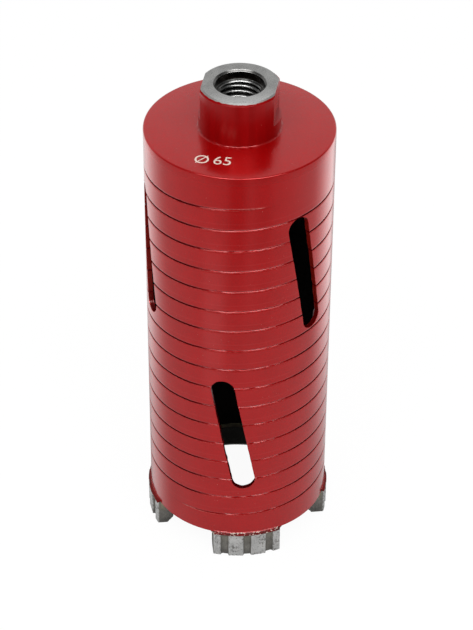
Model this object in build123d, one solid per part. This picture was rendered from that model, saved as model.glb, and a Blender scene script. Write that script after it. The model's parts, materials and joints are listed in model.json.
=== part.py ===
from build123d import *
from math import cos, radians, sin
import os

# A tube-type core bit standing on its cutting segments, in millimetres and degrees.
# The origin is the centre of the circle of feet, +Z is the bit's axis towards the hub.
# Azimuth 0 faces the front (-Y) and grows towards +X.

# Barrel: a tube closed by a welded end plate, turned to one outside diameter
barrel_diameter = 63.0
barrel_length = 150.6
tube_wall = 1.65
plate_rim_height = 3.0
plate_spigot_depth = 3.0
plate_edge_bevel = 0.4
weld_clearance = 0.05

# Spiral groove rolled into the tube, rising to the right
groove_pitch = 8.09
groove_width = 0.9
groove_depth = 0.35
groove_mouth_height = 0.25
groove_top_below_plate = 11.4
groove_top_azimuth = 17.0
groove_bottom_azimuth = -52.0
groove_full_turns = 16

# Slots milled through the tube in two rows, their tops leaning to the left
slot_length = 48.0
slot_width = 8.0
slot_lean = 10.2
slots_per_row = 3
slot_rows = {"upper": (43.0, 38.0), "lower": (105.5, -9.4)}  # depth of the middle, azimuth

# Cutting segments welded on the tube's rim, standing out past its wall
segment_overhang = 1.0
segment_count = 4
segment_chord = 23.8
segment_height = 9.7
segment_thickness = 5.2
segment_corner = 0.4
foot_bevel = 0.35
inner_bevel_height_ratio = 1.35
inner_bevels = {"front": 1.4, "right": 1.1, "back": 1.4, "left": 2.0}
recess_count = 3
recess_step = 14.4
recess_mouth = 3.0
recess_floor = 2.0
recess_depth = 0.95

# Hub with a female thread, its bore drawn at the thread's inner diameter
hub_diameter = 27.0
hub_height = 16.0
hub_face_bevel = 0.9
flats_across = 24.0
flats_azimuth = 74.7
flats_ledge = 4.6
spigot_diameter = 20.0
hub_weld = 0.6
register_diameter = 16.1
register_depth = 3.4
mouth_bevel = 0.6
thread_inner_diameter = 13.84

# Places that follow from the sizes above
barrel_radius = barrel_diameter / 2
cut_radius = barrel_radius + segment_overhang
tube_bore_radius = barrel_radius - tube_wall
rim_level = segment_height
plate_level = rim_level + barrel_length
tube_top = plate_level - plate_rim_height
plate_underside = tube_top - plate_spigot_depth
hub_face = plate_level + hub_height
past_surface = 1.0


def outward(azimuth):
    return Vector(sin(radians(azimuth)), -cos(radians(azimuth)), 0)


def wall_plane(azimuth, height):
    """Plane through the axis that looks outward: local x runs round the bit, local y runs up."""
    around = Vector(cos(radians(azimuth)), sin(radians(azimuth)), 0)
    return Plane(origin=(0, 0, height), x_dir=around, z_dir=outward(azimuth))


def turned(*points):
    """Solid turned about the axis from (radius, height) points."""
    return revolve(Plane.XZ * make_face(Polyline(*points, close=True)), Axis.Z)


def slot_cutters():
    for depth, first_azimuth in slot_rows.values():
        for number in range(slots_per_row):
            azimuth = first_azimuth + number * 360 / slots_per_row
            outline = SlotOverall(slot_length, slot_width, rotation=90 + slot_lean)
            placed = wall_plane(azimuth, plate_level - depth) * outline
            yield extrude(placed, barrel_radius + past_surface)


def groove_cutter():
    """V section swept along the helix, its point in the wall and its open side past the surface."""
    turns = groove_full_turns + (groove_top_azimuth - groove_bottom_azimuth) / 360
    rise = turns * groove_pitch
    start = plate_level - groove_top_below_plate - rise
    helix = Helix(groove_pitch, rise, barrel_radius, center=(0, 0, start))
    flank = groove_width / 2 / groove_depth
    mouth = groove_mouth_height
    reach = flank * (groove_depth + mouth)
    section_plane = Plane(origin=helix @ 0, x_dir=(1, 0, 0), z_dir=helix % 0)
    section = make_face(Polyline((-groove_depth, 0), (mouth, reach), (mouth, -reach), close=True))
    groove = sweep(section_plane * section, path=helix, is_frenet=True)
    return Rot(Z=groove_bottom_azimuth - 90) * groove


def barrel_tube():
    tube = turned(
        (tube_bore_radius, rim_level),
        (barrel_radius, rim_level),
        (barrel_radius, tube_top),
        (tube_bore_radius, tube_top),
    )
    tube -= groove_cutter()
    for cutter in slot_cutters():
        tube -= cutter
    return tube


def end_plate():
    hole = spigot_diameter / 2 + weld_clearance
    spigot = tube_bore_radius - weld_clearance
    return turned(
        (hole, plate_underside),
        (spigot, plate_underside),
        (spigot, tube_top),
        (barrel_radius, tube_top),
        (barrel_radius, plate_level - plate_edge_bevel),
        (barrel_radius - plate_edge_bevel, plate_level),
        (hole, plate_level),
    )


def threaded_hub():
    radius = hub_diameter / 2
    bore = thread_inner_diameter / 2
    register = register_diameter / 2
    hub = turned(
        (bore, plate_underside),
        (spigot_diameter / 2, plate_underside),
        (spigot_diameter / 2, plate_level),
        (radius + hub_weld, plate_level),
        (radius, plate_level + hub_weld),
        (radius, hub_face - hub_face_bevel),
        (radius - hub_face_bevel, hub_face),
        (register + mouth_bevel, hub_face),
        (register, hub_face - mouth_bevel),
        (register, hub_face - register_depth),
        (bore, hub_face - register_depth),
    )
    ledge = plate_level + flats_ledge
    for side in (0, 180):
        beyond = Plane(origin=outward(flats_azimuth + side) * flats_across / 2 + Vector(0, 0, ledge))
        chip = Box(hub_diameter, hub_diameter, hub_height, align=(Align.MIN, Align.CENTER, Align.MIN))
        hub -= beyond * Rot(Z=flats_azimuth + side - 90) * chip
    return hub


def segment_blank(inner_bevel):
    """Ring piece facing the front, with end faces parallel to its middle plane."""
    inner = cut_radius - segment_thickness
    ring = turned(
        (inner, rim_level),
        (cut_radius, rim_level),
        (cut_radius, foot_bevel),
        (cut_radius - foot_bevel, 0),
        (inner + inner_bevel, 0),
        (inner, inner_bevel * inner_bevel_height_ratio),
    )
    front = (Align.CENTER, Align.MAX, Align.MIN)
    blank = ring & Box(segment_chord, 2 * cut_radius, segment_height, align=front)
    return chamfer(blank.edges().filter_by(Axis.Z), segment_corner)


def recess_cutter():
    """Flared channel over the full height of a segment's outer face."""
    floor = cut_radius - recess_depth
    lip = cut_radius + past_surface
    flare = (recess_mouth - recess_floor) / 2 / recess_depth
    half_lip = recess_mouth / 2 + flare * past_surface
    half_floor = recess_floor / 2
    outline = Polyline(
        (-half_floor, -floor), (half_floor, -floor), (half_lip, -lip), (-half_lip, -lip), close=True
    )
    return extrude(make_face(outline), segment_height)


def cutting_segment(azimuth, inner_bevel):
    body = segment_blank(inner_bevel)
    for number in range(recess_count):
        turn = (number - (recess_count - 1) / 2) * recess_step
        body -= Rot(Z=turn) * recess_cutter()
    return Rot(Z=azimuth) * body


parts = {
    "barrel_tube": barrel_tube(),
    "end_plate": end_plate(),
    "threaded_hub": threaded_hub(),
}
for index, (place, bevel) in enumerate(inner_bevels.items()):
    parts[f"segment_{place}"] = cutting_segment(index * 360 / segment_count, bevel)

os.makedirs("parts", exist_ok=True)
for name, part in parts.items():
    export_step(part, f"parts/{name}.step")
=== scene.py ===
import json
from math import asin, cos, degrees, pi, radians, sin, sqrt

import bmesh
import bpy
from mathutils import Matrix, Vector, noise


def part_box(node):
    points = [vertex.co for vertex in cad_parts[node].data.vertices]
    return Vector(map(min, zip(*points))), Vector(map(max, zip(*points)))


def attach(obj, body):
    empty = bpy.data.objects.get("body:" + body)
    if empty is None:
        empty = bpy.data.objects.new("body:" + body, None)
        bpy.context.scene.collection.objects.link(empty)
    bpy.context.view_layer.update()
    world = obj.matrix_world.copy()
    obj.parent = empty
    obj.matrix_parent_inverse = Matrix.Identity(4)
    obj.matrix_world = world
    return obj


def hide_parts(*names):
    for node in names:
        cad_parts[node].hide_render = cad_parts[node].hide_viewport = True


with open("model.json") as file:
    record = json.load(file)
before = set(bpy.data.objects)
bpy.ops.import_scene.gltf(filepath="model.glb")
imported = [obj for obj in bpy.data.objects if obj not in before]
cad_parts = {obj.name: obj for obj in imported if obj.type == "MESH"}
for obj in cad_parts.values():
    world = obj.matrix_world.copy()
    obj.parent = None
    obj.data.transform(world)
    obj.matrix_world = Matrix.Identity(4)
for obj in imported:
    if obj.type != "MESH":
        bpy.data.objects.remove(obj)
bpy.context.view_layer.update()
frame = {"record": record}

# A tube-type core bit standing on its cutting segments, in metres and degrees.
# The origin is the centre of the circle of feet, +Z is the bit's axis towards the hub.
# Azimuth 0 faces the front (-Y) and grows towards +X.
mm = 0.001

# Places that the frame gives
tube_low, tube_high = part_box("barrel_tube")
plate_low, plate_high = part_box("end_plate")
hub_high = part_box("threaded_hub")[1]
front_segment_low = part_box("segment_front")[0]
mounts = {mount["name"]: mount for mount in frame["record"]["mounts"]}
barrel_radius = plate_high.x
rim_level = tube_low.z
tube_top = tube_high.z
plate_underside = plate_low.z
plate_level = plate_high.z
hub_face = hub_high.z
cut_radius = -front_segment_low.y
thread_crest_radius = mounts["spindle_thread"]["dims"]["r_mm"] * mm
register_radius = mounts["hub_register"]["dims"]["r_mm"] * mm

# Barrel and end plate
tube_wall = 1.65 * mm
bore_radius = barrel_radius - tube_wall
weld_clearance = 0.05 * mm
rim_edge = 0.25 * mm
plate_edge = 0.65 * mm
barrel_steps = 192
barrel_sharp_angle = 42
plate_sharp_angle = 30
lining_margin = 0.05 * mm

# Spiral groove. Turns are counted up from where its line crosses azimuth 0 at Line Height.
groove_pitch = 8.09 * mm
groove_top = plate_level - 11.4 * mm
groove_top_turn = 19 + 17 / 360
groove_turns = 16 + 69 / 360
groove_run_out = 0.12
groove_line = {
    "Pitch": groove_pitch, "Line Height": groove_top - groove_top_turn * groove_pitch,
    "First Turn": groove_top_turn - groove_turns, "Last Turn": groove_top_turn,
}
groove_form = {
    "Line Width": 0.8 * mm, "Line Floor": 0.0, "Line Depth": 0.4 * mm, "Roundness": 0.0,
    "Unevenness": 0.8, "Lump Size": 1.3 * mm, "Run Out": groove_run_out, "Top Lip": 0.15 * mm,
    "Crowding": 0.9, "Turns": 21, "Rows per Turn": 20, "Steps": barrel_steps,
}

# Slots: the depth of each row's middle below the plate, and its first azimuth
slot_length = 48 * mm
slot_width = 8 * mm
slot_lean = 10.2
slots_per_row = 3
slot_rows = ((43.0 * mm, 38.0), (105.5 * mm, -9.4))
burr_grain = 1.6 * mm
# Layers from the bore to past the surface: radius, how much wider the slot is there, how ragged
slot_layers = (
    (bore_radius - 2 * mm, -0.15 * mm, 0.3 * mm),
    (bore_radius - 0.2 * mm, -0.15 * mm, 0.3 * mm),
    (bore_radius + 0.4 * mm, 0, 0.1 * mm),
    (barrel_radius - 0.3 * mm, 0, 0.08 * mm),
    (barrel_radius, 0.08 * mm, 0.12 * mm),
    (barrel_radius + 1.5 * mm, 1.2 * mm, 0.12 * mm),
)

# Hub
hub_radius = 13.5 * mm
hub_face_bevel = 0.9 * mm
hub_weld = 0.6 * mm
foot_angles = range(0, 91, 15)
foot_begins = 0.02 * mm
foot_lump = 0.5
foot_lump_size = 1.4 * mm
wall_above_foot = 0.2 * mm
bare_past_register = 0.3 * mm
bare_face_depth = 0.01 * mm
spigot_radius = 10 * mm
register_floor = hub_face - 3.4 * mm
mouth_bevel = 0.6 * mm
flats_across = 24 * mm
flats_azimuth = 74.7
flats_ledge = plate_level + 4.6 * mm
hub_steps = 144
hub_sharp_angle = 28

# The hub's M16 x 2 thread, its line the root, with its turns counted like the groove's
thread_pitch = 2 * mm
thread_root_radius = 8 * mm
thread_lead_in = 0.3 * mm
thread_first_turn = 1.6
thread_last_turn = 10.95
thread_form = {
    "Radius": thread_crest_radius, "Bottom": plate_underside, "Top": register_floor - thread_lead_in,
    "Pitch": thread_pitch, "Line Height": register_floor - thread_pitch * thread_last_turn,
    "Line Width": thread_pitch * 7 / 8, "Line Floor": thread_pitch / 8,
    "Line Depth": thread_crest_radius - thread_root_radius, "Roundness": 1.0,
    "First Turn": thread_first_turn, "Last Turn": thread_last_turn, "Run Out": 0.25,
    "Unevenness": 0.15, "Lump Size": 2.0 * mm, "Top Lip": 0.15 * mm,
    "Crowding": 0.0, "Turns": 12, "Rows per Turn": 16, "Steps": hub_steps,
}

# Cutting segments: how far each one's inner face is bevelled at the foot, by place
segment_chord = 23.8 * mm
segment_thickness = 5.2 * mm
inner_bevels = {"front": 1.4 * mm, "right": 1.1 * mm, "back": 1.4 * mm, "left": 2.0 * mm}
inner_bevel_height_ratio = 1.35
inner_steps = 12
recess_azimuths = (-14.4, 0, 14.4)
recess_mouth = 3 * mm
recess_floor = 2 * mm
recess_depth = 0.95 * mm
floor_radius = cut_radius - recess_depth
grain_size = 0.17 * mm
pit_size = 0.9 * mm
pit_depth = 0.07 * mm
pit_threshold = 0.75

# Painted welds that hold the segments
weld_lap = 0.22 * mm
weld_leg = 0.8 * mm
weld_root = 0.3 * mm
weld_lip_share = 0.85
weld_lump_size = 0.8 * mm
weld_lump_height = 0.03 * mm
lap_lump_size = 1.1 * mm
lap_unevenness = 0.35
lump_seed, lap_seed = 0, 5
bead_steps = 120
filleted_segments = (0, 180)
gusset_sink = 0.2 * mm
gusset_skin = 0.05 * mm
gusset_belly = (0.45, 0.35)
weld_sharp_angle = 60

# Size mark engraved on the plate
mark_text = "\u00d8 65"
mark_height = 4.6 * mm
font_figure_height = 0.7
mark_stretch = 0.95
mark_word_gap = 0.6
mark_depth = 0.12 * mm
mark_radius = 21.9 * mm
mark_azimuth = -13.9
mark_start = -11.8 * mm


class Number:
    """A number that a node socket carries, so that formulas read as written."""

    def __init__(self, tree, socket):
        self.tree = tree
        self.socket = socket

    def with_(self, operation, *others):
        values = dict(enumerate((self, *others)))
        node = add_node(self.tree, "ShaderNodeMath", values, operation=operation)
        return Number(self.tree, node.outputs[0])

    def __add__(self, other):
        return self.with_("ADD", other)

    def __sub__(self, other):
        return self.with_("SUBTRACT", other)

    def __rsub__(self, other):
        return self.with_("MULTIPLY_ADD", -1.0, other)

    def __mul__(self, other):
        return self.with_("MULTIPLY", other)

    def __truediv__(self, other):
        return self.with_("DIVIDE", other)

    def inverse(self):
        return self.with_("POWER", -1.0)

    def clamped(self, low, high):
        return self.with_("MAXIMUM", low).with_("MINIMUM", high)

    def step(self, start, end):
        """Rises smoothly from 0 at start to 1 at end."""
        values = {"Value": self, "From Min": start, "From Max": end}
        node = add_node(self.tree, "ShaderNodeMapRange", values, interpolation_type="SMOOTHSTEP")
        return Number(self.tree, node.outputs[0])

    __radd__ = __add__


def connect(tree, socket, value):
    """Sets a socket to a value, or joins it to the socket or number that gives one."""
    if isinstance(value, Number):
        value = value.socket
    if isinstance(value, bpy.types.NodeSocket):
        tree.links.new(value, socket)
    else:
        socket.default_value = value


def fill(tree, node, values):
    """Sets a node's inputs, by name or number, to values or joins them to sockets."""
    for label, value in values.items():
        connect(tree, node.inputs[label], value)


def add_node(tree, kind, inputs=None, **settings):
    """A node with its settings made and its inputs filled."""
    node = tree.nodes.new(kind)
    for name, value in settings.items():
        setattr(node, name, value)
    fill(tree, node, inputs or {})
    return node


def new_tree(name, kind, inputs, outputs):
    """A node group with its named sockets, the numbers that its inputs give and its output node."""
    tree = bpy.data.node_groups.new(name, kind)
    for direction, sockets in (("INPUT", inputs), ("OUTPUT", outputs)):
        for label, socket_kind in sockets.items():
            tree.interface.new_socket(label, in_out=direction, socket_type="NodeSocket" + socket_kind)
    entry = tree.nodes.new("NodeGroupInput")
    given = {label: Number(tree, entry.outputs[label]) for label in inputs}
    return tree, given, tree.nodes.new("NodeGroupOutput")


def split(tree, vector):
    """The three numbers of a vector."""
    node = add_node(tree, "ShaderNodeSeparateXYZ", {"Vector": vector})
    return [Number(tree, socket) for socket in node.outputs]


def joined(tree, x, y, z):
    return add_node(tree, "ShaderNodeCombineXYZ", {"X": x, "Y": y, "Z": z}).outputs[0]


def axis_distance(x, y):
    return (x * x + y * y).with_("SQRT")


# Shapes by Geometry Nodes

WALL_INPUTS = {
    **dict.fromkeys((
        "Radius", "Bottom", "Top", "Pitch", "Line Height", "Line Width", "Line Floor", "Line Depth",
        "Roundness", "Unevenness", "Lump Size", "First Turn", "Last Turn", "Run Out", "Top Lip", "Crowding",
    ), "Float"),
    **dict.fromkeys(("Turns", "Rows per Turn", "Steps"), "Int"),
}
welding_distance = 0.002 * mm


def mesh_place(tree):
    """The three coordinates of a point of the mesh."""
    return split(tree, add_node(tree, "GeometryNodeInputPosition").outputs[0])


def helical_wall_tree():
    """A round wall with a helical groove. Its rows of points follow the groove and crowd at it."""
    tree, given, result = new_tree(
        "Helical wall", "GeometryNodeTree", WALL_INPUTS, {"Geometry": "Geometry"}
    )
    grid = add_node(tree, "GeometryNodeMeshGrid", {
        "Vertices X": given["Steps"] + 1, "Vertices Y": given["Turns"] * given["Rows per Turn"] + 1,
    })
    across, up = mesh_place(tree)[:2]
    around = across + 0.5
    row = (up + 0.5) * given["Turns"]
    line = (row + 0.5).with_("FLOOR")
    phase = row - line
    crowded = phase - given["Crowding"] * (phase * (2 * pi)).with_("SINE") / (2 * pi)
    height = given["Line Height"] + given["Pitch"] * (around + line + crowded)
    level = height.clamped(given["Bottom"], given["Top"])
    half_width = given["Line Width"] / 2
    flank = half_width - given["Line Floor"] / 2
    from_line = (crowded * given["Pitch"]).with_("ABSOLUTE")
    sharp = ((half_width - from_line) / flank).clamped(0, 1)
    profile = sharp + (sharp.step(0, 1) - sharp) * given["Roundness"]
    turn = line + around
    begun = turn.step(given["First Turn"], given["First Turn"] + given["Run Out"])
    ended = turn.step(given["Last Turn"] - given["Run Out"], given["Last Turn"])
    angle = around * (2 * pi)
    east = angle.with_("SINE")
    south = angle.with_("COSINE") * -1.0
    unworn = joined(tree, given["Radius"] * east, given["Radius"] * south, level)
    lumps = add_node(tree, "ShaderNodeTexNoise", {
        "Vector": unworn, "Scale": given["Lump Size"].inverse(), "Detail": 1.0,
    })
    uneven = 1 + (Number(tree, lumps.outputs[0]) - 0.5) * 2.0 * given["Unevenness"]
    under_top = ((given["Top"] - level) / given["Top Lip"]).clamped(0, 1)
    radius = given["Radius"] - given["Line Depth"] * uneven * profile * begun * (1 - ended) * under_top
    wall = add_node(tree, "GeometryNodeSetPosition", {
        "Geometry": grid.outputs["Mesh"], "Position": joined(tree, radius * east, radius * south, level),
    })
    connect(tree, result.inputs["Geometry"], wall.outputs[0])
    return tree


def finished(tree, geometry, material):
    """The geometry as plain mesh, its faces smooth, with one finish."""
    smooth = add_node(tree, "GeometryNodeSetShadeSmooth", {"Geometry": geometry}, domain="FACE")
    whole = add_node(tree, "GeometryNodeRealizeInstances", {"Geometry": smooth.outputs[0]})
    coated = add_node(tree, "GeometryNodeSetMaterial", {"Geometry": whole.outputs[0], "Material": material})
    return coated.outputs[0]


def turned_piece_tree(wall_tree):
    """A turned shell closed with a helical wall, less the cutters' space, in two finishes."""
    inputs = {
        "Geometry": "Geometry", **WALL_INPUTS, "Inside": "Bool", "Cutters": "Object",
        "Sharp Angle": "Float", "Lining Radius": "Float", "Lining Height": "Float",
        "Finish": "Material", "Lining": "Material",
    }
    tree, given, result = new_tree("Turned piece", "GeometryNodeTree", inputs, {"Geometry": "Geometry"})
    wall = add_node(
        tree, "GeometryNodeGroup", {label: given[label] for label in WALL_INPUTS}, node_tree=wall_tree
    )
    flipped = add_node(tree, "GeometryNodeFlipFaces", {
        "Mesh": wall.outputs["Geometry"], "Selection": given["Inside"],
    })
    shell = add_node(tree, "GeometryNodeJoinGeometry")
    connect(tree, shell.inputs["Geometry"], given["Geometry"])
    connect(tree, shell.inputs["Geometry"], flipped.outputs["Mesh"])
    closed = add_node(tree, "GeometryNodeMergeByDistance", {
        "Geometry": shell.outputs["Geometry"], "Distance": welding_distance,
    })
    cutters = add_node(tree, "GeometryNodeObjectInfo", {"Object": given["Cutters"]})
    cut = add_node(tree, "GeometryNodeMeshBoolean", {
        "Mesh 1": closed.outputs["Geometry"], "Mesh 2": cutters.outputs["Geometry"],
    }, operation="DIFFERENCE", solver="EXACT")
    fold = Number(tree, add_node(tree, "GeometryNodeInputMeshEdgeAngle").outputs["Unsigned Angle"])
    creased = add_node(tree, "GeometryNodeSetShadeSmooth", {
        "Geometry": cut.outputs["Mesh"], "Shade Smooth": fold.with_("LESS_THAN", given["Sharp Angle"]),
    }, domain="EDGE")
    x, y, z = mesh_place(tree)
    inner = axis_distance(x, y).with_("LESS_THAN", given["Lining Radius"])
    above = z.with_("GREATER_THAN", given["Lining Height"])
    relined = add_node(tree, "GeometryNodeSetMaterial", {
        "Geometry": finished(tree, creased.outputs[0], given["Finish"]), "Selection": inner + above,
        "Material": given["Lining"],
    })
    connect(tree, result.inputs["Geometry"], relined.outputs["Geometry"])
    return tree


def pitted_skin_tree():
    """Sinks a piece's skin by seeded noise and gives it its finish."""
    inputs = {
        "Geometry": "Geometry", "Pit Size": "Float", "Pit Depth": "Float", "Seed": "Float",
        "Finish": "Material",
    }
    tree, given, result = new_tree("Pitted skin", "GeometryNodeTree", inputs, {"Geometry": "Geometry"})
    pits = add_node(tree, "ShaderNodeTexNoise", {
        "W": given["Seed"], "Scale": given["Pit Size"].inverse(), "Detail": 3.0,
    }, noise_dimensions="4D")
    offset = add_node(tree, "ShaderNodeVectorMath", {
        "Vector": add_node(tree, "GeometryNodeInputNormal").outputs[0],
        "Scale": (Number(tree, pits.outputs[0]) - pit_threshold) * given["Pit Depth"],
    }, operation="SCALE")
    worn = add_node(tree, "GeometryNodeSetPosition", {
        "Geometry": given["Geometry"], "Offset": offset.outputs["Vector"],
    })
    connect(tree, result.inputs["Geometry"], finished(tree, worn.outputs[0], given["Finish"]))
    return tree


def run_tree(piece, tree, values):
    """Replaces a piece's mesh by the plain mesh that the tree makes of it."""
    modifier = piece.modifiers.new(tree.name, "NODES")
    modifier.node_group = tree
    for item in tree.interface.items_tree:
        if item.in_out == "INPUT" and item.name in values:
            modifier[item.identifier] = values[item.name]
    piece.data = evaluated_mesh(piece)
    piece.modifiers.remove(modifier)
    if piece.data.materials and piece.data.materials[0] is None:
        piece.data.materials.pop(index=0)


# Shapes by mesh code

def new_object(name, data):
    obj = bpy.data.objects.new(name, data)
    bpy.context.scene.collection.objects.link(obj)
    return obj


def new_piece(name, mesh_data):
    mesh = bpy.data.meshes.new(name)
    mesh_data.to_mesh(mesh)
    mesh_data.free()
    return new_object(name, mesh)


def evaluated_mesh(obj):
    """A new mesh with everything that shapes the object applied to it."""
    return bpy.data.meshes.new_from_object(obj.evaluated_get(bpy.context.evaluated_depsgraph_get()))


def shade_smooth(piece, sharp_angle):
    piece.data.shade_smooth()
    piece.data.set_sharp_from_angle(angle=radians(sharp_angle))


def turn_about_axis(azimuth, size=3):
    return Matrix.Rotation(radians(azimuth), size, "Z")


def on_axis(radius, azimuth, height):
    return Vector((radius * sin(radians(azimuth)), -radius * cos(radians(azimuth)), height))


def join_rings(shape, rings):
    """Faces between each ring of points and the next."""
    for ring, follower in zip(rings, rings[1:]):
        for index in range(len(ring)):
            after = (index + 1) % len(ring)
            shape.faces.new((ring[index], ring[after], follower[after], follower[index]))


def skin(shape, rings):
    """Joins rings of points into a closed skin."""
    join_rings(shape, rings)
    shape.faces.new(list(reversed(rings[0])))
    shape.faces.new(rings[-1])


def lathe(profile, steps, closed=False):
    """Faces turned about the axis from (radius, height) points, anticlockwise round the section."""
    shell = bmesh.new()
    rings = [
        [shell.verts.new(on_axis(radius, 360 * step / steps, height)) for step in range(steps)]
        for radius, height in profile
    ]
    join_rings(shell, rings + rings[:1] if closed else rings)
    return shell


def rounded_corner(corner, radius, count=5):
    """Points of the quarter circle that rounds an outer top corner."""
    centre_r = corner[0] - radius
    centre_z = corner[1] - radius
    angles = (90 * index / count for index in range(count + 1))
    return [(centre_r + radius * cos(radians(a)), centre_z + radius * sin(radians(a))) for a in angles]


def slot_outline(end_points=20, side_points=24):
    """Points round an upright slot with round ends, each with its outward direction."""
    half_width = slot_width / 2
    half_straight = (slot_length - slot_width) / 2
    outline = []
    for side in (1, -1):
        for index in range(end_points):
            angle = pi * index / end_points
            way = Vector((side * cos(angle), side * sin(angle)))
            outline.append((Vector((0, side * half_straight)) + half_width * way, way))
        for index in range(side_points):
            height = side * half_straight * (1 - 2 * index / side_points)
            outline.append((Vector((-side * half_width, height)), Vector((-side, 0))))
    return outline


def slot_cutter(shape, azimuth, height):
    """A slot's space as a closed skin in layers."""
    lean = Matrix.Rotation(radians(slot_lean), 2)
    turn = turn_about_axis(azimuth)
    rings = []
    for radius, flare, burr in slot_layers:
        ring = []
        for point, way in slot_outline():
            ragged = burr * noise.noise(Vector((point.x, point.y, azimuth * mm)) / burr_grain)
            across, up = lean @ (point + way * (flare + ragged))
            ring.append(shape.verts.new(turn @ Vector((across, -sqrt(radius**2 - across**2), height + up))))
        rings.append(ring)
    skin(shape, rings)


def slot_cutters():
    shape = bmesh.new()
    for depth, first_azimuth in slot_rows:
        for number in range(slots_per_row):
            slot_cutter(shape, first_azimuth + number * 360 / slots_per_row, plate_level - depth)
    bmesh.ops.recalc_face_normals(shape, faces=shape.faces)
    return new_piece("slot_cutters", shape)


def flat_cutters():
    """Two blocks that take the spanner flats off the hub."""
    shape = bmesh.new()
    size = hub_radius * 2
    for side in (0, 180):
        middle = on_axis(flats_across / 2 + size / 2, flats_azimuth + side, flats_ledge + size / 2)
        turn = turn_about_axis(flats_azimuth + side, 4)
        bmesh.ops.create_cube(shape, size=size, matrix=Matrix.Translation(middle) @ turn)
    return new_piece("flat_cutters", shape)


def barrel(tree, paint, lining):
    """The tube with its spiral groove and its six slots."""
    shell = lathe([
        (barrel_radius, tube_top),
        (bore_radius, tube_top),
        (bore_radius, (tube_top + rim_level) / 2),
        (bore_radius, rim_level),
        (barrel_radius - rim_edge, rim_level),
        (barrel_radius, rim_level + rim_edge),
    ], barrel_steps)
    piece = new_piece("barrel", shell)
    cutters = slot_cutters()
    run_tree(piece, tree, {
        "Radius": barrel_radius, "Bottom": rim_level + rim_edge, "Top": tube_top,
        **groove_line, **groove_form, "Inside": False, "Cutters": cutters,
        "Sharp Angle": radians(barrel_sharp_angle), "Finish": paint, "Lining": lining,
        "Lining Radius": bore_radius + lining_margin, "Lining Height": plate_level,
    })
    bpy.data.objects.remove(cutters)
    return piece


def hub(tree, paint, bare_steel):
    """The turned hub with its flats, register and thread."""
    foot = [
        (hub_radius + hub_weld * (1 - sin(radians(a))), plate_level + hub_weld * (1 - cos(radians(a))))
        for a in foot_angles
    ]
    shell = lathe([
        (thread_crest_radius, plate_underside),
        (spigot_radius, plate_underside),
        (spigot_radius, plate_level),
        *foot,
        (hub_radius, plate_level + hub_weld + wall_above_foot),
        (hub_radius, flats_ledge),
        (hub_radius, hub_face - hub_face_bevel),
        (hub_radius - hub_face_bevel, hub_face),
        (register_radius + mouth_bevel, hub_face),
        (register_radius, hub_face - mouth_bevel),
        (register_radius, register_floor),
        (thread_crest_radius + thread_lead_in, register_floor),
        (thread_crest_radius, register_floor - thread_lead_in),
    ], hub_steps)
    for vertex in shell.verts:
        if vertex.co.xy.length > hub_radius + foot_begins:
            lump = 1 + foot_lump * noise.noise(vertex.co / foot_lump_size)
            vertex.co.xy = vertex.co.xy * (1 + (lump - 1) * hub_weld / hub_radius)
    piece = new_piece("hub", shell)
    cutters = flat_cutters()
    run_tree(piece, tree, {
        **thread_form, "Inside": True, "Cutters": cutters, "Sharp Angle": radians(hub_sharp_angle),
        "Finish": paint, "Lining": bare_steel, "Lining Radius": register_radius + bare_past_register,
        "Lining Height": hub_face - bare_face_depth,
    })
    bpy.data.objects.remove(cutters)
    return piece


def segment_outline(inner_radius):
    """Plan of a segment that faces the front: outer arc with its recesses, then the inner arc."""
    half = segment_chord / 2
    outer = [(-half, cut_radius)]
    for azimuth in recess_azimuths:
        for across, radius in (
            (-recess_mouth, cut_radius), (-recess_floor, floor_radius),
            (recess_floor, floor_radius), (recess_mouth, cut_radius),
        ):
            local = Vector((across / 2, -sqrt(radius**2 - (across / 2)**2)))
            point = Matrix.Rotation(radians(azimuth), 2) @ local
            outer.append((point.x, radius))
    outer.append((half, cut_radius))
    inner = [(half * (1 - 2 * index / inner_steps), inner_radius) for index in range(inner_steps + 1)]
    return [Vector((x, -sqrt(radius**2 - x**2))) for x, radius in outer + inner]


def segment(place, azimuth, tree, matrix_metal):
    """A sintered cutting segment with its recessed outer face and worn, pitted skin."""
    inner_radius = cut_radius - segment_thickness
    bevel = inner_bevels[place]
    levels = (
        (0, inner_radius + bevel),
        (bevel * inner_bevel_height_ratio, inner_radius),
        (rim_level, inner_radius),
    )
    shape = bmesh.new()
    turn = turn_about_axis(azimuth)
    skin(shape, [
        [shape.verts.new(turn @ Vector((*point, height))) for point in segment_outline(radius)]
        for height, radius in levels
    ])
    bmesh.ops.recalc_face_normals(shape, faces=shape.faces)
    piece = new_piece("cutting_segment_" + place, shape)
    remesh = piece.modifiers.new("Grain", "REMESH")
    remesh.mode = "VOXEL"
    remesh.voxel_size = grain_size
    run_tree(piece, tree, {
        "Pit Size": pit_size, "Pit Depth": pit_depth, "Seed": float(azimuth), "Finish": matrix_metal,
    })
    piece.modifiers.clear()
    return piece


def plate(paint, engraved_steel):
    """The disc that closes the tube, its rim rounded."""
    hole = spigot_radius + weld_clearance
    spigot = bore_radius - weld_clearance
    shell = lathe([
        (hole, plate_underside),
        (spigot, plate_underside),
        (spigot, tube_top),
        (barrel_radius, tube_top),
        *rounded_corner((barrel_radius, plate_level), plate_edge),
        (hub_radius + hub_weld, plate_level),
        (hole, plate_level),
    ], barrel_steps, closed=True)
    piece = new_piece("plate", shell)
    piece.data.materials.append(paint)
    piece.data.materials.append(engraved_steel)
    engrave(piece, size_mark_cutter(engraved_steel))
    shade_smooth(piece, plate_sharp_angle)
    return piece


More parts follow.
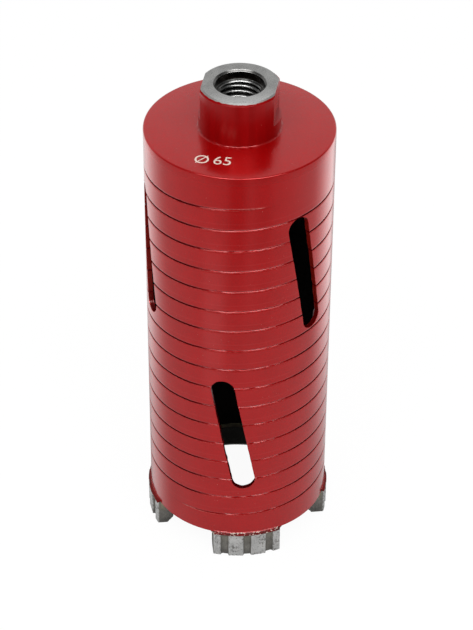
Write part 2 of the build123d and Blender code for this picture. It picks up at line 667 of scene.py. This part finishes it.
def size_mark_cutter(engraved_steel):
    """The size mark, a diameter sign and a number, as a solid that dips into the plate."""
    curve = bpy.data.curves.new("size_mark", "FONT")
    curve.body = mark_text
    curve.size = mark_height / font_figure_height
    curve.space_word = mark_word_gap
    curve.extrude = mark_depth
    curve.align_y = "CENTER"
    text = new_object("size_mark", curve)
    mesh = evaluated_mesh(text)
    bpy.data.objects.remove(text)
    stretch = Matrix.Diagonal((mark_stretch, 1, 1, 1))
    place = Matrix.Translation((mark_start, -mark_radius, plate_level))
    mesh.transform(turn_about_axis(mark_azimuth, 4) @ place @ stretch)
    mesh.materials.clear()
    mesh.materials.append(engraved_steel)
    return new_object("size_mark_cutter", mesh)


def engrave(piece, cutter):
    """Takes the cutter's space out of a piece, and leaves the cutter's finish on what it bares."""
    cut = piece.modifiers.new("Engraving", "BOOLEAN")
    cut.object = cutter
    cut.solver = "EXACT"
    cut.material_mode = "TRANSFER"
    piece.data = evaluated_mesh(piece)
    piece.modifiers.remove(cut)
    bpy.data.objects.remove(cutter)


def weld_section(face_radius, lap):
    """Section of the weld on a segment's ledge: from the wall down to the lap over the outer face."""
    lip = face_radius + weld_lip_share * (cut_radius - face_radius)
    ledge = lip - barrel_radius
    return (
        (barrel_radius - weld_root, rim_level + 0.9 * mm),
        (barrel_radius + 0.005 * mm, rim_level + 0.85 * mm),
        (barrel_radius + 0.25 * ledge, rim_level + 0.4 * mm),
        (barrel_radius + 0.65 * ledge, rim_level + 0.22 * mm),
        (lip - 0.05 * mm, rim_level + 0.1 * mm),
        (lip + 0.02 * mm, rim_level - 0.05 * mm),
        (lip + 0.02 * mm, rim_level - lap),
        (face_radius - weld_root, rim_level - lap - 0.03 * mm),
    )


def outer_radius_at(across):
    """A segment's outer radius at a distance from its middle, recesses included."""
    for azimuth in recess_azimuths:
        aside = abs(across - cut_radius * sin(radians(azimuth)))
        flank = (aside - recess_floor / 2) / (recess_mouth / 2 - recess_floor / 2)
        if flank < 1:
            return floor_radius + recess_depth * max(flank, 0)
    return cut_radius


def weld_bead(shape, azimuth):
    """The lumpy bead along a segment's ledge, lapping unevenly down its face."""
    rings = []
    for index in range(bead_steps + 1):
        across = segment_chord * (index / bead_steps - 0.5)
        lump = noise.noise(Vector((across / weld_lump_size, azimuth, lump_seed)))
        drip = noise.noise(Vector((across / lap_lump_size, azimuth, lap_seed)))
        lap = weld_lap * (1 + lap_unevenness * drip)
        turn = azimuth + degrees(asin(across / cut_radius))
        rings.append([
            shape.verts.new(on_axis(radius, turn, height + weld_lump_height * lump))
            for radius, height in weld_section(outer_radius_at(across), lap)
        ])
    skin(shape, rings)


def corner_weld(shape, azimuth, side):
    """The small gusset of weld between the tube's rim and a segment's end."""
    inner = segment_chord / 2 - gusset_sink
    outer = segment_chord / 2
    top = rim_level + gusset_skin
    tip = rim_level - weld_leg
    belly = (outer + gusset_belly[0] * weld_leg, rim_level - gusset_belly[1] * weld_leg)
    outline = ((inner, top), (outer + weld_leg, top), belly, (outer + gusset_skin, tip), (inner, tip))
    middle_radius = (bore_radius + barrel_radius) / 2
    rings = []
    for radius in (bore_radius + weld_root, middle_radius, barrel_radius - gusset_skin):
        points = (Vector((side * across, -sqrt(radius**2 - across**2), z)) for across, z in outline)
        rings.append([shape.verts.new(turn_about_axis(azimuth) @ point) for point in points])
    skin(shape, rings)


def rim_welds(paint):
    """The welds that hold the segments, under the paint."""
    shape = bmesh.new()
    for azimuth in range(0, 360, 90):
        weld_bead(shape, azimuth)
        if azimuth in filleted_segments:
            for side in (-1, 1):
                corner_weld(shape, azimuth, side)
    bmesh.ops.recalc_face_normals(shape, faces=shape.faces)
    piece = new_piece("rim_welds", shape)
    shade_smooth(piece, weld_sharp_angle)
    piece.data.materials.append(paint)
    return piece


# Finishes. Colours are linear red, green and blue, and pairs of them are mixed by a mask.

dust_color = (0.6, 0.35, 0.3)
plate_reds = ((0.345, 0.0, 0.0005), (0.41, 0.0, 0.001))
barrel_reds = ((0.355, 0.0, 0.0005), (0.415, 0.0, 0.001))
# The hub's reds are darker than the plate's: painted shade.
hub_shaded_reds = ((0.29, 0.0, 0.0005), (0.34, 0.0, 0.001))
# The darker red of the face's bevel, painted shade.
hub_bevel_painted_shade = (0.12, 0.0, 0.0005)
weld_reds = ((0.31, 0.0, 0.0005), (0.365, 0.0, 0.001))
# Painted shadow along the weld paint's lower edge.
weld_painted_shadow = (0.06, 0.006, 0.005)
weld_ground = (0.6, 0.48, 0.42)
groove_shade = (0.06, 0.0, 0.002)
# A pale red that stands for a painted sheen on the roller line.
roller_painted_sheen = (0.55, 0.06, 0.06)
# Dark reds of the slots' walls, painted shade.
slot_wall_shade_reds = ((0.075, 0.0, 0.001), (0.22, 0.008, 0.004))
# A pale red for the slots' edges, a painted highlight.
slot_edge_painted_highlight = (0.6, 0.16, 0.14)
# Near-black colour of the bore, painted shade.
bore_painted_shade_blacks = ((0.002, 0.001, 0.001), (0.006, 0.002, 0.002))
worn_steel = (0.42, 0.42, 0.41)
turned_steels = ((0.28, 0.28, 0.275), (0.44, 0.44, 0.43))
# Painted highlight on the front of the face.
front_painted_highlight_steel = (0.62, 0.62, 0.61)
shaded_steel = (0.12, 0.115, 0.11)
register_wall_darks = ((0.012, 0.008, 0.006), (0.055, 0.045, 0.04))
# Painted shade in the thread's roots.
thread_root_painted_shade = (0.012, 0.011, 0.01)
engraved_steels = ((0.5, 0.38, 0.33), (0.75, 0.64, 0.57))
dull_matrix = ((0.1, 0.096, 0.085), (0.23, 0.22, 0.2))
heated_matrix = (0.33, 0.3, 0.19)
foot_matrix = (0.07, 0.07, 0.068)
# Painted shade on the segments' inner faces.
shaded_inner_matrix = (0.03, 0.03, 0.025)
ground_matrix = ((0.33, 0.33, 0.325), (0.56, 0.56, 0.55))
crack_color = (0.12, 0.115, 0.105)
flake_share = 0.5
paint_relief = 0.02 * mm
steel_relief = 0.005 * mm
engraving_relief = 0.01 * mm
matrix_relief = 0.05 * mm
turning_mark_pitch = 0.22 * mm
mottle_edge = (0.3, 0.7)
speck_edge = 0.03
streak_edge = (0.35, 0.68)
streak_stretch = (1, 1, 0.04)
groove_shade_edge = (0.25 * mm, 0.48 * mm)
roller_line_height = 2.6 * mm
roller_line_edge = (0.05 * mm, 0.35 * mm)
crack_edge = (0.03, 0.1)
crack_patch_edge = (0.5, 0.6)
lit_slot_heights = (90 * mm, 105 * mm)


def object_coordinates(tree):
    return tree.nodes.new("ShaderNodeTexCoord").outputs["Object"]


def object_place(tree):
    """The three coordinates of a point of the piece."""
    return split(tree, object_coordinates(tree))


def noise_value(tree, scale, detail, stretch=(1, 1, 1)):
    """A value of about 0 to 1 that wanders over the piece, with scale spots in a metre."""
    placed = add_node(tree, "ShaderNodeMapping", {"Vector": object_coordinates(tree), "Scale": stretch})
    texture = add_node(tree, "ShaderNodeTexNoise", {
        "Vector": placed.outputs[0], "Scale": scale, "Detail": detail,
    })
    return Number(tree, texture.outputs[0])


def effect_tree(name, inputs, outputs):
    """The group of a shared effect, its sockets all numbers."""
    return new_tree(name, "ShaderNodeTree", dict.fromkeys(inputs, "Float"), dict.fromkeys(outputs, "Float"))


def mottle_group():
    """Broad and fine unevenness of a finish."""
    tree, given, result = effect_tree("Mottle", ("Broad Size", "Fine Size"), ("Broad", "Fine"))
    for label in ("Broad", "Fine"):
        value = noise_value(tree, given[label + " Size"].inverse(), detail=3.0)
        connect(tree, result.inputs[label], value.step(*mottle_edge))


def speck_group():
    """A mask of scattered specks."""
    tree, given, result = effect_tree("Specks", ("Size", "Threshold"), ("Mask",))
    value = noise_value(tree, given["Size"].inverse(), detail=1.0)
    mask = value.step(given["Threshold"], given["Threshold"] + speck_edge)
    connect(tree, result.inputs["Mask"], mask)


def streak_group():
    """Upright streaks, as brushing and runs of paint leave them; on the hub's paint they stand for painted
    reflections.
    """
    tree, given, result = effect_tree("Streaks", ("Width",), ("Streaks",))
    value = noise_value(tree, given["Width"].inverse(), detail=2.0, stretch=streak_stretch)
    connect(tree, result.inputs["Streaks"], value.step(*streak_edge))


def groove_group():
    """Masks of the groove's line, where its dark colour is painted shade, and of the faint line that the
    roller left above it, which carries a painted sheen.
    """
    tree, given, result = effect_tree("Groove lines", tuple(groove_line), ("Groove", "Roller Line"))
    x, y, z = object_place(tree)
    turn = x.with_("ARCTAN2", y * -1.0) / (2 * pi)
    climbed = (z - given["Line Height"]) / given["Pitch"]
    lines = climbed - turn
    above = (lines - (lines + 0.5).with_("FLOOR")) * given["Pitch"]
    first, last = given["First Turn"], given["Last Turn"]
    begun = climbed.step(first, first + groove_run_out)
    present = begun * (1 - climbed.step(last - groove_run_out, last))
    groove = 1 - above.with_("ABSOLUTE").step(*groove_shade_edge)
    roller = 1 - (above - roller_line_height).with_("ABSOLUTE").step(*roller_line_edge)
    fill(tree, result, {"Groove": groove * present, "Roller Line": roller * present})


def crack_group():
    """A mask of short, thin, crooked cracks."""
    tree, given, result = effect_tree("Cracks", ("Size",), ("Mask",))
    coordinates = object_coordinates(tree)
    scale = given["Size"].inverse()
    bend = add_node(tree, "ShaderNodeTexNoise", {"Vector": coordinates, "Scale": scale * 1.6})
    shift = add_node(tree, "ShaderNodeVectorMath", {
        "Vector": bend.outputs["Color"], "Scale": given["Size"] * 0.9,
    }, operation="SCALE")
    bent = add_node(tree, "ShaderNodeVectorMath", {0: coordinates, 1: shift.outputs[0]}, operation="ADD")
    cells = add_node(tree, "ShaderNodeTexVoronoi", {
        "Vector": bent.outputs[0], "Scale": scale,
    }, feature="DISTANCE_TO_EDGE")
    line = 1 - Number(tree, cells.outputs["Distance"]).step(*crack_edge)
    patches = noise_value(tree, scale * 0.7, detail=1.0).step(*crack_patch_edge)
    connect(tree, result.inputs["Mask"], line * patches)


def use_group(tree, name, values):
    """The outputs of a shared effect."""
    node = add_node(tree, "ShaderNodeGroup", values, node_tree=bpy.data.node_groups[name])
    return [Number(tree, socket) for socket in node.outputs]


def mottle(tree, broad_size, fine_size):
    return use_group(tree, "Mottle", {"Broad Size": broad_size, "Fine Size": fine_size})


def specks(tree, size, threshold):
    return use_group(tree, "Specks", {"Size": size, "Threshold": threshold})[0]


def streaks(tree, width):
    return use_group(tree, "Streaks", {"Width": width})[0]


def mixed(tree, share, first, second):
    """A colour between two others, given as red, green and blue or as a socket."""
    node = add_node(tree, "ShaderNodeMix", {"Factor": share}, data_type="RGBA")
    for socket, color in zip((node.inputs[6], node.inputs[7]), (first, second)):
        connect(tree, socket, (*color, 1) if isinstance(color, tuple) else color)
    return node.outputs[2]


def new_material(name):
    material = bpy.data.materials.new(name)
    material.use_nodes = True
    return material, material.node_tree, material.node_tree.nodes["Principled BSDF"]


def lacquer(tree, shader, gloss_blur, values):
    """A clear coat over a red ground with some metal flake in it."""
    fill(tree, shader, {
        "Metallic": flake_share, "Specular IOR Level": 0.0, "Coat Roughness": gloss_blur, **values,
    })


def bump(tree, shader, height, depth):
    """Lets a height of 0 to 1 dent the surface by up to a depth in metres."""
    node = add_node(tree, "ShaderNodeBump", {"Distance": depth, "Height": height})
    connect(tree, shader.inputs["Normal"], node.outputs["Normal"])


def enamel():
    """Glossy red paint with a slight orange peel, dust specks and faint upright streaks."""
    material, tree, shader = new_material("red_enamel")
    broad, fine = mottle(tree, 9 * mm, 0.7 * mm)
    dust = specks(tree, 0.5 * mm, 0.79)
    runs = streaks(tree, 1.6 * mm)
    color = mixed(tree, broad * 0.3 + fine * 0.4 + runs * 0.3, *plate_reds)
    lacquer(tree, shader, 0.2, {
        "Base Color": mixed(tree, dust * 0.5, color, dust_color),
        "Roughness": 0.2 + fine * 0.05,
        "Coat Weight": 1 - runs * 0.12,
    })
    bump(tree, shader, fine * 0.6 + broad * 0.5 + runs * 0.2, paint_relief)
    return material


def chipped_enamel():
    """The paint over the welds, darkened along its lower edge as painted shadow and chipped to its pale
    ground in front.
    """
    material, tree, shader = new_material("chipped_red_enamel")
    broad, fine = mottle(tree, 3 * mm, 0.5 * mm)
    y, z = object_place(tree)[1:]
    # The weld paint's lower edge darkened as painted shadow.
    low = 1 - (z + (fine - 0.5) * (0.4 * mm)).step(rim_level + 0.45 * mm, rim_level + 0.85 * mm)
    front = (y * -1.0).step(0.4 * barrel_radius, 0.8 * barrel_radius)
    chips = specks(tree, 0.65 * mm, 0.61) * front
    color = mixed(tree, broad, *weld_reds)
    color = mixed(tree, low * (0.7 + broad * 0.3), color, weld_painted_shadow)
    lacquer(tree, shader, 0.2, {
        "Base Color": mixed(tree, low * chips, color, weld_ground),
        "Roughness": 0.32 + fine * 0.05 + low * chips * 0.3,
        "Metallic": flake_share - low * 0.4,
        "Coat Weight": 1 - low * (0.75 + chips * 0.25),
    })
    bump(tree, shader, fine * 0.5 - low * chips, paint_relief)
    return material


def grooved_enamel():
    """The barrel's paint, with painted shade in the groove (deeper on the sides than in front) and on the
    slots' walls, and a painted highlight along their edges.
    """
    material, tree, shader = new_material("grooved_red_enamel")
    broad, fine = mottle(tree, 9 * mm, 0.7 * mm)
    dust = specks(tree, 0.5 * mm, 0.79)
    groove, roller = use_group(tree, "Groove lines", groove_line)
    x, y, z = object_place(tree)
    depth = barrel_radius - axis_distance(x, y)
    # The slots' walls darkened as painted shade, lighter on the upper slots as painted light.
    shaded_inside = depth.step(0.1 * mm, 0.3 * mm) * (1 - groove)
    # A pale line along the slots' edges, a painted highlight.
    edge = depth.step(0.02 * mm, 0.05 * mm) * (1 - depth.step(0.08 * mm, 0.15 * mm)) * (1 - groove)
    # The groove's dark colour is painted shade, deeper on the sides than in front.
    aside = 1 - (y * -1.0).step(barrel_radius * 0.8, barrel_radius * 0.93)
    shaded = groove * (0.35 + aside * 0.55)
    painted_slot_wall = mixed(tree, z.step(*lit_slot_heights), *slot_wall_shade_reds)
    color = mixed(tree, broad * 0.5 + fine * 0.5, *barrel_reds)
    # Painted shade in the groove and on the slots' walls, a painted sheen on the roller line, a painted
    # highlight along the slots' edges, then real dust.
    for share, other in (
        (shaded, groove_shade), (roller * 0.08, roller_painted_sheen), (shaded_inside, painted_slot_wall),
        (edge * (0.2 + fine * 0.6), slot_edge_painted_highlight), (dust * 0.5, dust_color),
    ):
        color = mixed(tree, share, color, other)
    lacquer(tree, shader, 0.15, {
        "Base Color": color,
        "Roughness": 0.32 + fine * 0.05,
        "Coat Weight": 1 - (shaded_inside * 0.4).with_("MAXIMUM", shaded * 0.9),
    })
    bump(tree, shader, fine * 0.6 + broad * 0.5 - roller * 0.25, paint_relief)
    return material


def hub_finish():
    """The hub's paint, darker than the plate's as painted shade, streaked upright with painted reflections,
    thinner towards the top and worn to steel at the face's edge.
    """
    material, tree, shader = new_material("worn_red_enamel")
    broad, fine = mottle(tree, 3 * mm, 0.5 * mm)
    runs = streaks(tree, 2.4 * mm)
    dust = specks(tree, 0.5 * mm, 0.78)
    z = object_place(tree)[2]
    uneven = z + (fine - 0.5) * (0.12 * mm) + (broad - 0.5) * (0.06 * mm)
    worn = uneven.step(hub_face - 0.46 * mm, hub_face - 0.38 * mm)
    bevel = z.step(hub_face - 0.95 * mm, hub_face - 0.85 * mm)
    thin = z.step(hub_face - 6.5 * mm, hub_face - 4 * mm) * 0.35
    # The hub's reds, darker than the plate's as painted shade, mixed by upright streaks that stand for
    # painted reflections.
    color = mixed(tree, runs, *hub_shaded_reds)
    # The painted part of the face's bevel darkened as painted shade.
    color = mixed(tree, bevel * 0.55, color, hub_bevel_painted_shade)
    color = mixed(tree, dust * 0.6, color, dust_color)
    lacquer(tree, shader, 0.22, {
        "Base Color": mixed(tree, worn, color, worn_steel),
        "Coat Weight": (1 - runs * 0.1 - thin) * (1 - bevel * (0.75 + broad * 0.2)) * (1 - worn),
        "Metallic": (flake_share - bevel * 0.35) * (1 - worn) + worn,
        "Roughness": 0.32 + fine * 0.05 + bevel * (0.33 - fine * 0.15),
    })
    bump(tree, shader, runs * 0.3 + broad * 0.5 + fine * 0.3, paint_relief)
    return material


def dark_lining():
    """The bore's lining, near black: painted shade inside the barrel."""
    material, tree, shader = new_material("dark_lining")
    broad, fine = mottle(tree, 12 * mm, 0.8 * mm)
    fill(tree, shader, {
        "Base Color": mixed(tree, broad, *bore_painted_shade_blacks), "Roughness": 0.6 + fine * 0.2,
        "Specular IOR Level": 0.1,
    })
    bump(tree, shader, fine, paint_relief)
    return material


def bare_steel():
    """Turned steel: bright on the face and the thread's crests, lighter towards the front as a painted
    highlight, darkened on the mouth's bevel and in the thread's roots as painted shade, and darkened on the
    register's wall.
    """
    material, tree, shader = new_material("bare_steel")
    broad, fine = mottle(tree, 4 * mm, 0.35 * mm)
    x, y, z = object_place(tree)
    outward = axis_distance(x, y)
    turning_marks = (outward * (2 * pi / turning_mark_pitch)).with_("SINE")
    mouth_level = hub_face - mouth_bevel
    # The face lighter towards the front, a painted highlight.
    front = (y * -1.0).step(2 * mm, 13 * mm)
    # The mouth's bevel darkened as painted shade.
    mouth = (1 - outward.step(register_radius + 0.45 * mm, register_radius + mouth_bevel)) * (
        z.step(mouth_level, mouth_level + 0.1 * mm)
    )
    wall = (1 - outward.step(register_radius, register_radius + 0.1 * mm)) * (
        z.step(register_floor + 0.1 * mm, register_floor + 0.3 * mm)
    ) * (1 - z.step(mouth_level - 0.1 * mm, mouth_level))
    # The thread's roots darkened as painted shade.
    root = outward.step(thread_crest_radius + 0.4 * mm, thread_crest_radius + 0.75 * mm) * (
        1 - z.step(register_floor - 0.1 * mm, register_floor)
    )
    # The register's wall darkened, with upright streaks.
    darkened_wall = mixed(tree, streaks(tree, 3.2 * mm), *register_wall_darks)
    color = mixed(tree, broad * 0.6 + fine * 0.4, *turned_steels)
    for share, other in (
        (front * 0.8, front_painted_highlight_steel), (mouth * 0.85, shaded_steel), (wall, darkened_wall),
        (root, thread_root_painted_shade),
    ):
        color = mixed(tree, share, color, other)
    fill(tree, shader, {"Base Color": color, "Roughness": 0.24 + fine * 0.12, "Metallic": 1.0})
    bump(tree, shader, turning_marks * 0.4 + fine, steel_relief)
    return material


def engraved_steel():
    """Where the size mark has burnt the paint away."""
    material, tree, shader = new_material("engraved_steel")
    broad, fine = mottle(tree, 2 * mm, 0.25 * mm)
    fill(tree, shader, {
        "Base Color": mixed(tree, fine, *engraved_steels), "Roughness": 0.5 + broad * 0.2,
    })
    bump(tree, shader, fine, engraving_relief)
    return material


def sintered_metal():
    """Sintered matrix: lands ground bright and cracked, the rest dull and browned by heat near the weld,
    the inner faces near black as painted shade.
    """
    material, tree, shader = new_material("sintered_metal")
    broad, fine = mottle(tree, 3 * mm, 0.4 * mm)
    pits = specks(tree, 0.7 * mm, 0.62)
    cracks, = use_group(tree, "Cracks", {"Size": 1.8 * mm})
    x, y, z = object_place(tree)
    outward = axis_distance(x, y)
    inner_radius = cut_radius - segment_thickness
    land = (outward + (fine - 0.5) * (0.1 * mm)).step(cut_radius - 0.45 * mm, cut_radius - 0.2 * mm)
    # The inner faces near black, painted shade.
    shaded_inside = 1 - outward.step(inner_radius + 0.1 * mm, inner_radius + 0.5 * mm)
    end_face = 1 - outward.step(floor_radius - 0.25 * mm, floor_radius - 0.05 * mm)
    heat = z.step(rim_level - 5 * mm, rim_level - 0.5 * mm) * (0.2 + end_face * (0.3 + broad * 0.5))
    foot = 1 - z.step(0, 3.5 * mm)
    dull = mixed(tree, fine * 0.6 + broad * 0.4, *dull_matrix)
    for share, other in ((heat, heated_matrix), (foot * 0.5, foot_matrix), (shaded_inside, shaded_inner_matrix)):
        dull = mixed(tree, share, dull, other)
    ground = mixed(tree, fine * 0.5 + broad * 0.5, *ground_matrix)
    ground = mixed(tree, (pits * 0.6).with_("MAXIMUM", cracks * 0.85), ground, crack_color)
    fill(tree, shader, {
        "Base Color": mixed(tree, land, dull, ground), "Metallic": 0.5, "Roughness": 0.42 + fine * 0.2,
    })
    bump(tree, shader, fine * 0.5 - pits - cracks, matrix_relief)
    return material


# Studio

white = (1, 1, 1, 1)
paper_grey = (0.88, 0.88, 0.88, 1)
floor_half_width = 4
camera_lens = 126.14
camera_sensor = 36
camera_azimuth = -6.3
camera_elevation = 37.048
camera_roll = 0.299
camera_distance = 716.7 * mm
camera_target = Vector((-4.786, -36.794, 111.155)) * mm
# Name, azimuth, width and power of each lamp
softboxes = (
    ("front softbox", -6, 0.9, 5.2), ("left softbox", -41, 0.7, 4.0), ("right softbox", 29, 0.7, 4.0),
)
softbox_elevation = 52
softbox_height = 0.42
softbox_distance = 1.3


def looking_in(azimuth, elevation, distance, target, roll=0):
    """Placement of a camera or lamp that looks at a target from a direction."""
    tilt = Matrix.Rotation(radians(90 - elevation), 4, "X") @ turn_about_axis(roll, 4)
    back = Matrix.Translation((0, 0, distance))
    return Matrix.Translation(target) @ turn_about_axis(azimuth, 4) @ tilt @ back


def camera():
    """Looks down on the bit from the photo's place."""
    data = bpy.data.cameras.new("camera")
    data.lens = camera_lens
    data.sensor_width = camera_sensor
    obj = new_object("camera", data)
    obj.matrix_world = looking_in(
        camera_azimuth, camera_elevation, camera_distance, camera_target, camera_roll
    )
    bpy.context.scene.camera = obj


def softbox(name, azimuth, width, power):
    """A lamp that faces the barrel's middle."""
    data = bpy.data.lights.new(name, "AREA")
    data.shape = "RECTANGLE"
    data.size = width
    data.size_y = softbox_height
    data.energy = power
    middle = Vector((0, 0, (rim_level + plate_level) / 2))
    new_object(name, data).matrix_world = looking_in(azimuth, softbox_elevation, softbox_distance, middle)


def cleared_tree(owner):
    owner.use_nodes = True
    owner.node_tree.nodes.clear()
    return owner.node_tree


def show(tree, output, share, lit, seen, mirrored):
    """Shows what light finds, plain white mixed in for the camera and another tone for reflections."""
    path = tree.nodes.new("ShaderNodeLightPath")
    to_camera = Number(tree, path.outputs["Is Camera Ray"]) * share
    glossy = Number(tree, path.outputs["Is Glossy Ray"])
    glossy = glossy.with_("MAXIMUM", path.outputs["Is Transmission Ray"])
    direct = add_node(tree, "ShaderNodeMixShader", {0: to_camera, 1: lit.outputs[0], 2: seen.outputs[0]})
    whole = add_node(tree, "ShaderNodeMixShader", {0: glossy, 1: direct.outputs[0], 2: mirrored.outputs[0]})
    connect(tree, tree.nodes.new(output).inputs["Surface"], whole.outputs[0])


def band(direction, middle, half_width):
    """1 in a direction and those near it, falling smoothly to 0."""
    return 1 - (direction - middle).with_("ABSOLUTE").step(0.4 * half_width, 1.6 * half_width)


def mirrored_tone(tree):
    """How bright the paper looks in the bit's sides, a tone painted into its reflections: dim in front,
    dark under it as a painted shadow, bright behind it.
    """
    x, y = object_place(tree)[:2]
    right = x.step(-20 * mm, 20 * mm)
    # Degrees of a fan that opens from the front to the back on either side of the bit
    fan = ((x + 2 * mm).with_("ABSOLUTE") - 24 * mm).with_("ARCTAN2", (y + 18 * mm) * -1.0)
    turned = fan * (180 / pi)
    axis = axis_distance(x, y)
    near = 1 - axis.step(40 * mm, 200 * mm)
    left_side = 0.54 - turned.step(60, 100) * near * 0.1 + turned.step(104, 149) * (0.8 - near * 0.4)
    right_side = 0.56 + turned.step(90, 130) * (1.05 - near * 0.98)
    right_side = right_side - turned.step(140, 154) * (1 - near) * 0.95
    sides = left_side * (1 - right) + right_side * right - turned.step(152, 172) * 0.45
    # Painted dark and bright bands in front of the bit, seen in its reflections
    direction = x.with_("ARCTAN2", y * -1.0) * (180 / pi)
    dark = band(direction, 5, 45) * 0.35 + band(direction, -8, 9) * 0.4 + band(direction, 21, 9) * 0.2
    far = axis.step(120 * mm, 290 * mm)
    glow = band(direction, -35, 11) * axis.step(90 * mm, 160 * mm) * (1 - axis.step(180 * mm, 250 * mm))
    # Painted shadow under the bit, seen in its reflections.
    below = 0.06 + axis.step(22 * mm, 40 * mm) * 0.94
    return sides * (1 - dark * far * 1.05) * below + glow * 0.3


def floor():
    """White paper that keeps a faint shadow."""
    shape = bmesh.new()
    bmesh.ops.create_grid(shape, x_segments=1, y_segments=1, size=floor_half_width)
    obj = new_piece("floor", shape)
    material = bpy.data.materials.new("paper")
    tree = cleared_tree(material)
    lit = add_node(tree, "ShaderNodeBsdfDiffuse", {"Color": paper_grey})
    seen = add_node(tree, "ShaderNodeEmission")
    mirrored = add_node(tree, "ShaderNodeEmission", {"Strength": mirrored_tone(tree)})
    show(tree, "ShaderNodeOutputMaterial", 0.95, lit, seen, mirrored)
    obj.data.materials.append(material)


def surroundings():
    """A white tent, open and dark towards the front, where the camera stands."""
    world = bpy.data.worlds.new("white tent")
    tree = cleared_tree(world)
    behind = split(tree, tree.nodes.new("ShaderNodeTexCoord").outputs["Generated"])[1]
    strengths = (0.66 + behind.step(-0.4, 0.5) * 0.34, 1.0, 0.1 + behind.step(0.15, 0.6) * 0.62)
    lit, seen, mirrored = (
        add_node(tree, "ShaderNodeBackground", {"Color": white, "Strength": strength})
        for strength in strengths
    )
    show(tree, "ShaderNodeOutputWorld", 1.0, lit, seen, mirrored)
    bpy.context.scene.world = world


def add_to_object(piece, node):
    """The piece rides on the bit and stands for a node of the frame, if it has one."""
    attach(piece, "root")
    if node:
        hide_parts(node)


for make_group in (mottle_group, speck_group, streak_group, groove_group, crack_group):
    make_group()
matrix_metal = sintered_metal()
turned_tree = turned_piece_tree(helical_wall_tree())
skin_tree = pitted_skin_tree()

for piece, node in (
    (barrel(turned_tree, grooved_enamel(), dark_lining()), "barrel_tube"),
    (plate(enamel(), engraved_steel()), "end_plate"),
    (hub(turned_tree, hub_finish(), bare_steel()), "threaded_hub"),
    (rim_welds(chipped_enamel()), None),
):
    add_to_object(piece, node)
for index, place in enumerate(inner_bevels):
    piece = segment(place, 90 * index, skin_tree, matrix_metal)
    add_to_object(piece, "segment_" + place)

surroundings()
floor()
for lamp in softboxes:
    softbox(*lamp)
camera()
bpy.context.scene.view_settings.view_transform = "Standard"
